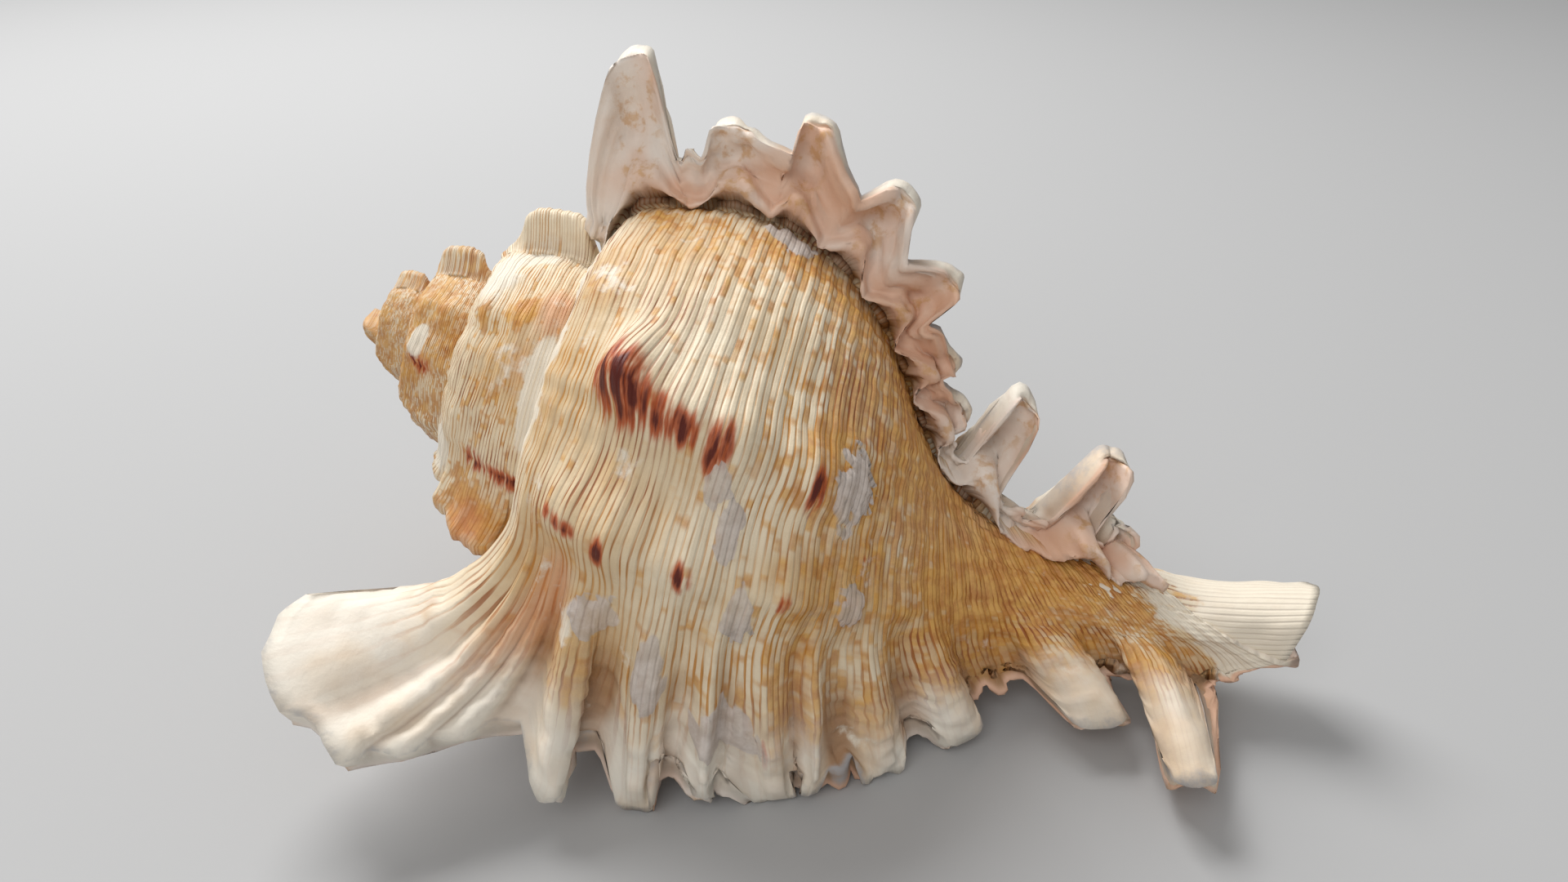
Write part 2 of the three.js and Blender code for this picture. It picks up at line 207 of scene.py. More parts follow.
def third(s, index, spines, web, start, body_rows, flare_rows, front_rows, covered=False, tongue=None):
    """One third of a whorl: rows of body at constant spacing in turn, a flare that leaves the body on a
    quadratic curve to the flange's edge, and the front face down to the next third, which starts under
    the scalloped edge of the old lip. Gives the rows and the turn where the next third starts."""
    edge_turn = -120.0 * index
    u, r, nu, nr = outline(s)
    along, out, lean, ridge = flange_edge(s, spines, web, edge_turn, covered, tongue)
    size = GROWTH_RATIO ** (edge_turn / 360)
    per_mm = np.degrees(1 / (size * r))
    length = np.hypot(along, out)
    here = smooth(length, 1.0, 6.0)
    v = np.linspace(0, 1, body_rows)[:, None]
    turn = start + (edge_turn - FLARE_TURN - start) * v
    body = Rows(place(turn, u, r), turn, ridge=ridge, edge=edge_turn)
    t = np.linspace(0, 1, flare_rows + 1)[1:, None]
    leave = place(edge_turn - FLARE_TURN, u, r)
    droop = 8.0 * smooth(s, 0.03, 0.08) * (1 - smooth(s, 0.11, 0.2)) if tongue is not None else 0.0
    middle = place(edge_turn - 4 + droop, u + 0.12 * along, r + 0.12 * out)
    tip = place(edge_turn + lean, u + along, r + out)
    t3 = t[:, :, None]
    curve = (1 - t3) ** 2 * leave + 2 * t3 * (1 - t3) * middle + t3 ** 2 * tip
    flare = Rows(curve, edge_turn - FLARE_TURN + FLARE_TURN * t, height=t * here, ridge=ridge, edge=edge_turn)
    thick = np.minimum(EDGE_THICKNESS, 0.6 * 7 / per_mm)
    groove = 1.3 * ridge
    arch = ridge ** 0.7
    nose = np.clip((0.5 + 7.0 * arch) / np.maximum(length, 4), 0, 0.6)
    forward = 6.4 - 1.2 * arch
    push = 2.4 * (1 - ridge)
    dip = 1.6 * ridge / np.maximum(length, 6)
    stations = [
        (0.3 * thick + 0.5 * push, 1 - 0.6 * dip, 0.2), (0.6 * thick + push, 1 - dip, 0.5),
        (thick + push, 0.985 - 0.3 * dip, 1.0), (thick + 0.2 - 0.4 * groove + push, 0.84, 1.0),
        (0.8 * thick - 0.8 * groove + push, 0.64, 1.0),
        (0.9 * thick - groove + 0.6 * push, np.maximum(0.48, nose + 0.08), 1.0),
        (0.62 * forward, nose + 0.07, 1.0),
        (forward, nose, 1.0), (1.04 * forward, 0.74 * nose, 0.9), (0.62 * forward, 0.56 * nose, 0.5),
        (0.22 * forward, 0.34 * nose, 0.2), (0.34 * forward, 0.02 * nose, 0.0),
    ]
    # Painted shade: weights of brown at each station, strongest where the front face curls back under the
    # spine's arch.
    hollow_shade_weight = [0, 0, 0, 0, 0, 0.05, 0, 0, 0.1, 0.6, 1.0, 0.8]
    if covered:
        stations = [
            (0.5 * thick, 1.0, 0.0), (thick, 0.97, 0.1), (thick + 0.6, 0.8, 0.3), (thick + 1.0, 0.55, 0.3),
            (thick + 1.6, 0.3, 0.2), (thick + 2.4, 0.1, 0.1), (thick + 3.4, 0.0, 0.0),
        ]
        # Painted shade: weights of brown in the recess under the old flange's edge.
        hollow_shade_weight = [0, 0, 0, 0, 0.1, 0.3, 0.2]
    q = np.linspace(0, len(stations) - 1, front_rows)
    low = np.minimum(q.astype(int), len(stations) - 2)
    part = smooth(q - low, 0, 1)[:, None] * 0.5 + (q - low)[:, None] * 0.5
    ahead = np.array([np.broadcast_to(x[0], s.shape) for x in stations])
    high = np.array([np.broadcast_to(x[1], s.shape) for x in stations])
    face = np.array([np.broadcast_to(x[2], s.shape) for x in stations])
    hollow_shade_weight = np.array(hollow_shade_weight)[:, None] * np.ones_like(s)
    ahead, high, face, hollow_shade_weight = (x[low] * (1 - part) + x[low + 1] * part for x in (ahead, high, face, hollow_shade_weight))
    level = np.linspace(0.05, 1, front_rows)[:, None] * 2.6
    ahead = ahead * here + level * (1 - here)
    turning = edge_turn + lean * np.clip(high, 0, 1) + ahead * per_mm
    points = place(turning, u + high * along, r + high * out)
    front = Rows(points, edge_turn + 0 * high, height=np.clip(high, 0, 1) * here, front=face * here,
                 hollow_shade=hollow_shade_weight * here * smooth(arch, 0.25, 0.75), ridge=ridge, edge=edge_turn)
    return stack([body, flare, front]), turning[-1]


def lip_third(s, start, body_rows, flare_rows, front_rows, lining_rows):
    """The last third: its flange is the outer lip, so the front face runs in over a crenulated inner edge
    to the lining of the mouth, which is the outline moved in by the wall and closes on the canal's bore."""
    made, _ = third(s, 0, LIP_SPINES, LIP_WEB, start, body_rows, flare_rows, 2, tongue=LIP_TONGUE)
    rows = body_rows + flare_rows
    outer = Rows(made.point[:rows], 0.0)
    outer.value = {k: v[:rows] for k, v in made.value.items()}
    u, r, nu, nr = outline(s)
    along, out, lean, ridge = flange_edge(s, LIP_SPINES, LIP_WEB, 0.0, tongue=LIP_TONGUE)
    per_mm = np.degrees(1 / r)
    length = np.hypot(along, out)
    here = smooth(length, 1.0, 6.0)
    thick = np.minimum(EDGE_THICKNESS, 0.6 * 7 / per_mm)
    dip = 2.0 * ridge / np.maximum(length, 6)
    groove = 1.2 * ridge
    push = 2.8 * (1 - ridge) * here
    neck = smooth(s, 0.5, 0.74)
    depth_u = WALL * nu
    depth_r = WALL * nr * (1 - neck) + (r - 3.0) * neck
    stations = [
        (0.3 * thick + 0.5 * push, 1 - 0.7 * dip, 0.0, 0.2), (0.6 * thick + push, 1 - dip, 0.0, 0.6),
        (thick + push, 0.98, 0.0, 1.0), (thick + 0.4 - 0.5 * groove + push, 0.8, 0.0, 1.0),
        (thick + 0.6 - groove + push, 0.55, 0.0, 1.0), (thick + 0.9 - groove + push, 0.3, 0.0, 1.0),
        (thick + 1.2 - 0.5 * groove + push, 0.1, 0.05, 1.0), (thick + 1.2 + 0.5 * push, 0.0, 0.3, 1.0),
        (thick + 0.6, 0.0, 0.7, 1.0), (0.5 * thick, 0.0, 1.0, 1.0),
    ]
    q = np.linspace(0, len(stations) - 1, front_rows)
    low = np.minimum(q.astype(int), len(stations) - 2)
    part = (q - low)[:, None]
    ahead, high, deep, face = (
        np.array([np.broadcast_to(x[k], s.shape) for x in stations]) for k in range(4))
    ahead, high, deep, face = (x[low] * (1 - part) + x[low + 1] * part for x in (ahead, high, deep, face))
    turning = lean * high + ahead * per_mm
    point = place(turning, u + high * along - deep * depth_u, r + high * out - deep * depth_r)
    front = Rows(point, 0.0 * high, height=high * here, front=face, ridge=ridge,
                 inside=smooth(deep, 0.2, 0.9))
    back = (np.linspace(0, 1, lining_rows + 1)[1:, None]) ** 1.4
    turn = turning[-1] * (1 - back) - 352 * back
    lining = Rows(place(turn, u - depth_u, r - depth_r), turn, inside=1.0, ridge=ridge)
    return outer, stack([front, lining])


def grid_normals(grid, sign):
    """Unit normals of a grid: the cross product of its differences along columns and rows."""
    n = sign * np.cross(np.gradient(grid, axis=1), np.gradient(grid, axis=0))
    return n / np.maximum(np.linalg.norm(n, axis=-1, keepdims=True), 1e-12)


# Knobs on the two ribs between flanges: turn behind the flange, place on the outline, height
KNOBS = [
    (-60, 0.2, 4.6), (-57.5, 0.262, 2.6), (-56, 0.315, 2.4), (-54, 0.4, 1.8),
    (-33, 0.17, 2.2), (-33, 0.23, 2.4), (-34.5, 0.305, 2.0), (-35, 0.4, 1.8),
]
# Lime crusts of old worm tubes: turn, place on the outline, half sizes in turn and place
CRUSTS = [
    (-10.5, 0.360, 5.6, 0.036), (-29, 0.359, 6.5, 0.024), (-20.5, 0.226, 3.6, 0.026),
    (-17, 0.289, 5.0, 0.018), (-33.5, 0.478, 7.5, 0.022), (-58, 0.452, 10.0, 0.032), (-43, 0.334, 6.5, 0.014),
    (-49, 0.312, 4.0, 0.016), (-109, 0.31, 5.0, 0.04),
]


def crust_field(turn, s):
    """Height of the crusts: one minus the distance to the nearest crust in its half sizes, made ragged."""
    best = np.full(np.broadcast(turn, s).shape, -1.0)
    for at_turn, at_s, half_turn, half_s in CRUSTS:
        away = np.hypot((turn - at_turn) / half_turn, (s - at_s) / half_s)
        best = np.maximum(best, 1 - away)
    ragged = 0.30 * lumps(turn / 2.2, s * 90, 11) + 0.22 * lumps(turn / 1.1, s * 180, 12)
    return best + ragged


def relief(turn, s, value):
    """Height in mm above the smooth whorl: rib knobs, folds that gather into the spines, low spiral cords,
    growth steps along the turn, lumps on the flanges, and the crusts."""
    edge = value["edge"]
    inside = value["inside"]
    front = value["front"]
    height = value["height"]
    behind = turn - edge
    outer = (1 - inside) * (1 - front)
    rise = np.zeros_like(turn)
    for at, spot, top in KNOBS:
        a = behind - at
        a = np.where(a > 0, a / 5.0, a / 10.0)
        rise = rise + 1.35 * top * np.exp(-a * a - ((s - spot) / 0.032) ** 2)
    for at, top in ((-57.5, 1.3), (-34, 1.1)):
        band = smooth(s, 0.14, 0.2) * (1 - smooth(s, 0.42, 0.52))
        rise = rise + top * band * np.exp(-((behind - at) / 6.5) ** 2)
    rise = rise * (height < 0.02)
    gather = smooth(behind, -34, -8) * (1 - 0.6 * smooth(height, 0.85, 1.0))
    gather = gather * smooth(s, 0.05, 0.12) * (1 - smooth(s, 0.93, 0.99))
    fold = (4.9 * value["ridge"] - 1.7) * gather
    cord = 0.20 * np.cos(2 * np.pi * s * 43) * (1 - 0.7 * smooth(height, 0.3, 0.8))
    steps = 0.22 * lumps(turn / 3.1, s * 7, 1) + 0.5 * lumps(turn / 11, s * 9, 2)
    rough = (0.5 * lumps(turn / 3.0 + 9 * height, s * 40, 3) + 0.3 * lumps(turn + 19 * height, s * 85, 4))
    rough = rough * smooth(height, 0.1, 0.5)
    crust = 0.75 * smooth(crust_field(turn, s), 0.18, 0.42) * outer
    tooth = 0.45 * np.cos(2 * np.pi * s * 64) * front * inside * 4 * (1 - inside)
    face = front * (1 - inside) * (0.6 * lumps(s * 55, height * 9, 5) + 0.35 * lumps(s * 110, height * 17, 6))
    return (rise + fold + cord + steps + crust) * outer + rough * (1 - inside) + tooth + face


def bells(turn, s, spots):
    """Sum of bell-shaped spots: turn, place, half size in turn, half size in place, strength."""
    total = np.zeros(np.broadcast(turn, s).shape)
    for at_turn, at_s, half_turn, half_s, strength in spots:
        far = ((turn - at_turn) / half_turn) ** 2 + ((s - at_s) / half_s) ** 2
        total = total + strength * np.exp(-far)
    return total


# Red-brown, golden and rosy spots: turn behind the flange, place, half sizes in turn and place, strength
# The spots at turns -58.5 to -53.5 and -33.6 to -32.2, on the young side of the ribs' knobs, are partly the
# shell's own red-brown and partly painted shade below the knobs.
MAROON_AND_SHADE_SPOTS = [
    (-58.5, 0.192, 6.5, 0.016, 0.95), (-57.0, 0.216, 5.5, 0.015, 1.1), (-55.5, 0.246, 3.6, 0.014, 0.9),
    (-55.0, 0.272, 3.0, 0.014, 0.9), (-54.5, 0.303, 4.2, 0.012, 1.15), (-53.5, 0.403, 4.6, 0.008, 1.1),
    (-58.0, 0.170, 4.0, 0.012, 0.55),
    (-33.5, 0.166, 1.6, 0.012, 0.7), (-32.5, 0.19, 1.6, 0.014, 0.75), (-32.2, 0.226, 2.4, 0.008, 1.1),
    (-33.6, 0.302, 2.8, 0.009, 1.1), (-33.5, 0.396, 2.4, 0.006, 0.95), (-9, 0.392, 2.5, 0.004, 0.8),
    (-84, 0.89, 3.0, 0.007, 0.8), (-45, 0.49, 1.6, 0.006, 0.8),
]
GOLD_SPOTS = [
    (-95, 0.60, 40, 0.12, 0.55), (-70, 0.78, 40, 0.12, 0.55), (-95, 0.90, 22, 0.06, 0.7),
    (-62, 0.92, 26, 0.05, 0.5),
    (-70, 0.42, 26, 0.05, 0.5), (-42, 0.66, 20, 0.08, 0.6), (-105, 0.33, 12, 0.10, 0.5),
    (-20, 0.43, 10, 0.05, 0.35),
    (-108, 0.16, 12, 0.05, 0.35), (-86, 0.25, 14, 0.08, 0.2), (-8, 0.30, 6, 0.25, 0.25),
]
ROSE_SPOTS = [
    (-19, 0.178, 9, 0.022, 0.9), (-4, 0.115, 10, 0.03, 0.42), (-12, 0.155, 8, 0.02, 0.5),
    (-116, 0.16, 5, 0.04, 0.5),
]


def finish_values(grid, s, older):
    """Values that the finish follows at each point: how golden, red-brown, rosy or chalky it is, the line
    number across the whorl and the millimetres along it."""
    turn = grid.value["turn"]
    value = dict(grid.value)
    shade = np.zeros_like(turn) + s
    third_turn = np.mod(turn, -120.0)
    if older:
        value["height"] = 0.35 * value["height"]
        value["front"] = 0.4 * value["front"]
        value["maroon_and_shade"] = bells(turn, s, [
            (-380, 0.20, 2.4, 0.03, 0.8), (-379.5, 0.27, 2.2, 0.04, 1.0), (-753, 0.19, 5, 0.05, 0.85)])
        value["gold"] = 0.22 + 0.5 * smooth(-turn, 470, 560) + 0.2 * lumps(turn / 14, s * 22, 21)
        value["gold"] = value["gold"] + bells(turn, s, [
            (-368, 0.22, 10, 0.07, 0.9), (-429, 0.136, 5, 0.02, 0.9), (-431, 0.216, 5, 0.025, 0.9),
            (-436, 0.234, 4, 0.02, 0.6), (-398, 0.21, 14, 0.05, 0.4)])
        value["rose"] = bells(turn, s, [
            (-437, 0.285, 10, 0.04, 1.0), (-364, 0.22, 8, 0.05, 0.9), (-754, 0.19, 8, 0.06, 0.9),
            (-415, 0.25, 10, 0.04, 0.5)])
        value["chalk"] = 0.1 + bells(turn, s, [
            (-450, 0.12, 16, 0.05, 0.55), (-470, 0.20, 16, 0.06, 0.4), (-408, 0.292, 16, 0.018, 0.8),
            (-766, 0.165, 8, 0.03, 0.8), (-600, 0.15, 20, 0.06, 0.35), (-372, 0.10, 10, 0.04, 0.5)])
        value["crust"] = -1.0 + 0 * shade
    else:
        value["maroon_and_shade"] = bells(third_turn, s, MAROON_AND_SHADE_SPOTS)
        value["gold"] = 0.26 + 0.35 * smooth(s, 0.26, 0.6) + bells(third_turn, s, GOLD_SPOTS)
        value["gold"] = value["gold"] * (1 - 0.75 * smooth(s, 0.88, 0.96))
        value["rose"] = bells(third_turn, s, ROSE_SPOTS)
        value["chalk"] = 0.5 * (1 - smooth(s, 0.03, 0.10)) + 0.2 * lumps(turn / 6, s * 30, 23)
        value["chalk"] = value["chalk"] + 0.45 * smooth(s, 0.9, 0.97)
        value["crust"] = crust_field(turn, s)
    value["line"] = 146 * s + 0 * turn
    value["along"] = 0.87 * (turn + 9 * value["height"])
    return value


def put_mesh(name, points, faces, values):
    """Makes a mesh object from points and faces, turns its faces outwards and stores the finish values."""
    mesh = bpy.data.meshes.new(name)
    mesh.from_pydata(points.tolist(), [], faces)
    for key in ("height", "front", "hollow_shade", "ridge", "inside", "maroon_and_shade", "gold", "rose", "chalk", "crust",
                "line", "along"):
        layer = mesh.attributes.new(key, "FLOAT", "POINT")
        layer.data.foreach_set("value", np.ascontiguousarray(values[key], np.float32).ravel())
    shape = bmesh.new()
    shape.from_mesh(mesh)
    bmesh.ops.recalc_face_normals(shape, faces=shape.faces)
    shape.to_mesh(mesh)
    shape.free()
    mesh.polygons.foreach_set("use_smooth", np.ones(len(mesh.polygons), bool))
    piece = bpy.data.objects.new(name, mesh)
    bpy.context.scene.collection.objects.link(piece)
    return piece


def ring_faces(rows, columns, close_rows, close_columns):
    """Four-sided faces of a grid whose rows or columns may close on themselves."""
    i = np.arange(rows if close_rows else rows - 1)[:, None]
    j = np.arange(columns if close_columns else columns - 1)[None, :]
    k = (i + 1) % rows
    n = (j + 1) % columns
    corners = [i * columns + j, k * columns + j, k * columns + n, i * columns + n]
    return np.stack([np.broadcast_to(c, (i.size, j.size)) for c in corners], axis=-1).reshape(-1, 4).tolist()


def zip_edges(outer, inner, outer_turn, inner_turn):
    """Triangles between two runs of points, each outer point joined to the inner point of the same turn."""
    meet = np.searchsorted(inner_turn, np.maximum.accumulate(outer_turn))
    meet = np.clip(meet, 0, len(inner) - 1)
    meet[0] = 0
    meet[-1] = len(inner) - 1
    first = np.stack([outer[:-1], outer[1:], inner[meet[:-1]]], axis=1)
    k = np.arange(len(inner) - 1)
    at = np.searchsorted(meet, k + 1)
    second = np.stack([inner[:-1], inner[1:], outer[at]], axis=1)
    return first.tolist() + second.tolist()


whorl_columns = 256
whorl_s = np.linspace(0, 1, whorl_columns)
whorl_u, whorl_r, _, _ = outline(whorl_s)
root_turn = np.linspace(-366, -353, 4)[:, None]
root_sink = np.array([0.10, 0.10, 0.07, 0.035])[:, None]
root_u = whorl_u + (90 - whorl_u) * 0.5 * root_sink
root = Rows(place(root_turn, root_u, whorl_r * (1 - root_sink)), root_turn, edge=-240.0)
upper_web = WEB_HEIGHT + 3.4 * smooth(whorl_s, 0.15, 0.22) * (1 - smooth(whorl_s, 0.42, 0.52))
lower, lower_end = third(whorl_s, 2, LOWER_SPINES, WEB_HEIGHT, -350.5, 46, 22, 24)
upper, upper_end = third(whorl_s, 1, UPPER_SPINES, upper_web, lower_end, 56, 26, 34)
outer, inner = lip_third(whorl_s, upper_end, 92, 30, 22, 26)
whorl = stack([root, lower, upper, outer, inner])
outer_rows = len(whorl.point) - 22 - 26
whorl_normal = grid_normals(whorl.point, 1.0)
axis_point = place(whorl.value["turn"], whorl_u, 0 * whorl_r)
outward = np.sum(whorl_normal[20:40] * (whorl.point - axis_point)[20:40])
whorl_normal = whorl_normal * np.sign(outward)
lift = relief(whorl.value["turn"], whorl_s[None, :] + 0 * whorl.value["turn"], whorl.value)
whorl.point = whorl.point + whorl_normal * lift[..., None] * 0.001
whorl.point[..., 2] = np.maximum(whorl.point[..., 2], 0)
rows, columns = whorl.point.shape[:2]
number = np.arange(rows * columns).reshape(rows, columns)
outer_turn = np.maximum.accumulate(whorl.value["turn"][:outer_rows, 0])
inner_turn = whorl.value["turn"][outer_rows:, 0][::-1]
whorl_faces = ring_faces(rows, columns, True, False)
whorl_faces += zip_edges(number[:outer_rows, 0], number[outer_rows:, 0][::-1], outer_turn, inner_turn)
whorl_faces += zip_edges(number[:outer_rows, -1], number[outer_rows:, -1][::-1], outer_turn, inner_turn)
last_whorl = put_mesh("last_whorl", whorl.point.reshape(-1, 3), whorl_faces,
                      finish_values(whorl, whorl_s[None, :], False))


def paint(red, green, blue):
    """Scene-linear colour of a display colour given as 0 to 255."""
    c = np.array([red, green, blue]) / 255
    c = np.where(c <= 0.04045, c / 12.92, ((c + 0.055) / 1.055) ** 2.4)
    return (*c.tolist(), 1.0)


class Finish:
    """A node tree in the making: each method adds one node and gives its output."""

    def __init__(self, name):
        self.material = bpy.data.materials.new(name)
        self.material.use_nodes = True
        self.tree = self.material.node_tree
        self.surface = self.tree.nodes["Principled BSDF"]

    def join(self, source, socket):
        if isinstance(source, bpy.types.NodeSocket):
            self.tree.links.new(source, socket)
        else:
            socket.default_value = source

    def value(self, name):
        node = self.tree.nodes.new("ShaderNodeAttribute")
        node.attribute_name = name
        return node.outputs["Fac"]

    def sum(self, kind, a, b=0.0, c=0.0):
        node = self.tree.nodes.new("ShaderNodeMath")
        node.operation = kind
        for source, socket in zip((a, b, c), node.inputs):
            self.join(source, socket)
        return node.outputs[0]

    def step(self, source, low, high, bottom=0.0, top=1.0):
        node = self.tree.nodes.new("ShaderNodeMapRange")
        node.interpolation_type = "SMOOTHSTEP"
        self.join(source, node.inputs[0])
        for given, socket in zip((low, high, bottom, top), list(node.inputs)[1:5]):
            self.join(given, socket)
        return node.outputs[0]

    def vector(self, x, y, z=0.0):
        node = self.tree.nodes.new("ShaderNodeCombineXYZ")
        for source, socket in zip((x, y, z), node.inputs):
            self.join(source, socket)
        return node.outputs[0]

    def noise(self, vector, scale, detail=2.0, rough=0.5):
        node = self.tree.nodes.new("ShaderNodeTexNoise")
        self.join(vector, node.inputs["Vector"])
        node.inputs["Scale"].default_value = scale
        node.inputs["Detail"].default_value = detail
        node.inputs["Roughness"].default_value = rough
        return node.outputs["Fac"]

    def blend(self, factor, a, b):
        node = self.tree.nodes.new("ShaderNodeMix")
        node.data_type = "RGBA"
        self.join(factor, node.inputs[0])
        self.join(a, node.inputs[6])
        self.join(b, node.inputs[7])
        return node.outputs[2]


def lime_finish(name, older):
    """Finish of the lime wall: cream ground, golden flecks and brown spiral lines broken into dashes,
    red-brown spots, partly painted shade below the rib knobs, white flanges with grey broken ends, porcelain
    fronts with brown painted shade in the hollows under the spines, grey crusts."""
    f = Finish(name)
    where = f.tree.nodes.new("ShaderNodeTexCoord").outputs["Object"]
    line, along = f.value("line"), f.value("along")
    height, front, ridge = f.value("height"), f.value("front"), f.value("ridge")
    inside, hollow_shade, crust = f.value("inside"), f.value("hollow_shade"), f.value("crust")
    gold, maroon_and_shade, rose, chalk = f.value("gold"), f.value("maroon_and_shade"), f.value("rose"), f.value("chalk")
    wander = f.noise(f.vector(f.sum("MULTIPLY", along, 0.035), f.sum("MULTIPLY", line, 0.11)), 1.0, 2.0)
    phase = f.sum("MULTIPLY_ADD", wander, 1.7, line)
    lane = f.sum("FLOOR", phase)
    across = f.sum("FRACT", phase)
    middle = f.sum("MULTIPLY", f.sum("ABSOLUTE", f.sum("SUBTRACT", across, 0.5)), 2.0)
    lane_seed = f.sum("MULTIPLY", lane, 7.37)
    dash = f.noise(f.vector(f.sum("MULTIPLY", along, 0.16), lane_seed), 1.0, 1.0)
    fleck = f.noise(f.vector(f.sum("MULTIPLY", along, 0.21), f.sum("MULTIPLY", lane, 3.11), 5.0), 1.0, 2.0)
    broad = f.noise(where, 42.0, 3.0, 0.55)
    fine = f.noise(where, 420.0, 4.0, 0.6)
    ground = f.blend(f.step(broad, 0.35, 0.68), paint(232, 217, 190), paint(214, 188, 148))
    ground = f.blend(f.sum("MULTIPLY", f.step(fine, 0.4, 0.8), 0.25), ground, paint(196, 164, 122))
    want = f.sum("MULTIPLY_ADD", gold, -0.36, 0.68)
    flecks = f.step(fleck, want, f.sum("ADD", want, 0.13))
    patch = f.step(broad, f.sum("SUBTRACT", want, 0.02), f.sum("ADD", want, 0.2))
    golden = f.blend(f.step(fine, 0.35, 0.65), paint(214, 158, 66), paint(186, 116, 26))
    ground = f.blend(f.sum("MULTIPLY", patch, 0.5), ground, golden)
    ground = f.blend(f.sum("MULTIPLY", flecks, 0.68), ground, golden)
    width = f.step(dash, 0.3, 0.7, 0.84, 0.50)
    mark = f.step(middle, width, f.sum("ADD", width, 0.16))
    fading = f.noise(f.vector(f.sum("MULTIPLY", along, 0.045), f.sum("MULTIPLY", line, 0.06), 17.0), 1.0, 3.0)
    mark = f.sum("MULTIPLY", mark, f.step(dash, 0.28, 0.62, 0.16, 0.95))
    mark = f.sum("MULTIPLY", mark, f.step(fading, 0.32, 0.58, 0.4, 1.0))
    red = f.noise(f.vector(f.sum("MULTIPLY", along, 0.05), f.sum("MULTIPLY", line, 0.05), 3.0), 1.0, 2.0)
    line_paint = f.blend(f.step(red, 0.44, 0.64), paint(192, 128, 44), paint(146, 76, 34))
    ground = f.blend(f.sum("MULTIPLY", mark, 0.94), ground, line_paint)
    ground = f.blend(f.sum("MULTIPLY", f.step(rose, 0.1, 0.9), 0.5), ground, paint(214, 138, 96))
    streak = f.noise(f.vector(f.sum("MULTIPLY", along, 0.13), f.sum("MULTIPLY", line, 0.75), 9.0), 1.0, 3.0)
    # Red-brown to near-black from the spots: partly the shell's own colour, partly painted shade on the young
    # side of the rib knobs.
    stain_and_shade = f.sum("MULTIPLY_ADD", f.sum("MULTIPLY_ADD", streak, 4.2, -1.15), maroon_and_shade, -0.05)
    ground = f.blend(f.step(stain_and_shade, 0.12, 0.62, 0.0, 0.9), ground, paint(178, 74, 18))
    ground = f.blend(f.step(stain_and_shade, 0.5, 1.0, 0.0, 0.96), ground, paint(84, 18, 6))
    worn = f.step(f.sum("MULTIPLY_ADD", fine, 0.3, height), 0.42, 0.95)
    bone = f.blend(f.step(broad, 0.4, 0.7), paint(232, 226, 214), paint(222, 200, 172))
    ground = f.blend(f.sum("MULTIPLY", worn, 0.86), ground, bone)
    low = f.sum("MULTIPLY", f.step(ridge, 0.5, 0.12), f.step(height, 0.05, 0.5))
    low = f.sum("MULTIPLY", low, f.step(broad, 0.25, 0.6))
    ground = f.blend(f.sum("MULTIPLY", low, 0.75), ground, paint(150, 104, 62))
    broken = f.step(f.sum("MULTIPLY_ADD", broad, 0.16, f.sum("MULTIPLY_ADD", fine, 0.10, height)), 1.10, 1.16)
    ground = f.blend(f.sum("MULTIPLY", broken, 0.85), ground, paint(170, 170, 172))
    chalky = f.step(f.sum("MULTIPLY_ADD", broad, 1.1, f.sum("MULTIPLY_ADD", fine, 0.45, chalk)), 1.02, 1.16)
    ground = f.blend(f.sum("MULTIPLY", chalky, 0.9), ground, paint(232, 222, 204))
    porcelain = f.blend(f.step(broad, 0.38, 0.62), paint(232, 220, 208), paint(222, 180, 152))
    stained = f.sum("MULTIPLY", f.step(fine, 0.48, 0.66), f.step(ridge, 0.3, 0.9))
    porcelain = f.blend(f.sum("MULTIPLY", stained, 0.6), porcelain, paint(200, 150, 84))
    ground = f.blend(f.step(front, 0.3, 0.8), ground, porcelain)
    # Painted shade: brown in the hollows under the spine arches.
    ground = f.blend(f.sum("MULTIPLY", hollow_shade, 0.9), ground, paint(96, 50, 22))
    crusty = f.step(f.sum("MULTIPLY_ADD", fine, 0.24, crust), 0.30, 0.40)
    lilac = f.blend(f.step(fine, 0.35, 0.7), paint(188, 175, 165), paint(212, 201, 193))
    ground = f.blend(f.sum("MULTIPLY", crusty, f.step(fading, 0.3, 0.6, 0.62, 0.95)), ground, lilac)
    glaze = f.blend(f.step(broad, 0.4, 0.7), paint(238, 226, 216), paint(228, 196, 178))
    ground = f.blend(inside, ground, glaze)
    f.join(ground, f.surface.inputs["Base Color"])
    rough = f.step(inside, 0.0, 1.0, 0.52, 0.3)
    rough = f.sum("MULTIPLY_ADD", f.sum("MAXIMUM", crusty, broken), 0.3, rough)
    f.join(rough, f.surface.inputs["Roughness"])
    f.surface.inputs["Specular IOR Level"].default_value = 0.35
    groove = f.sum("MULTIPLY", f.step(middle, 0.4, 1.0), f.step(height, 0.8, 0.2))
    groove = f.sum("MULTIPLY", groove, f.sum("SUBTRACT", 1.0, f.sum("MAXIMUM", inside, front)))
    grain = f.sum("MULTIPLY_ADD", fine, 0.6, f.sum("MULTIPLY", groove, -0.5))
    bump = f.tree.nodes.new("ShaderNodeBump")
    bump.inputs["Strength"].default_value = 0.45
    bump.inputs["Distance"].default_value = 0.0006
    f.join(grain, bump.inputs["Height"])
    f.join(bump.outputs[0], f.surface.inputs["Normal"])
    return f.material


last_whorl.data.materials.append(lime_finish("lime_last_whorl", False))
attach(last_whorl, "root")
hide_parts("shell")

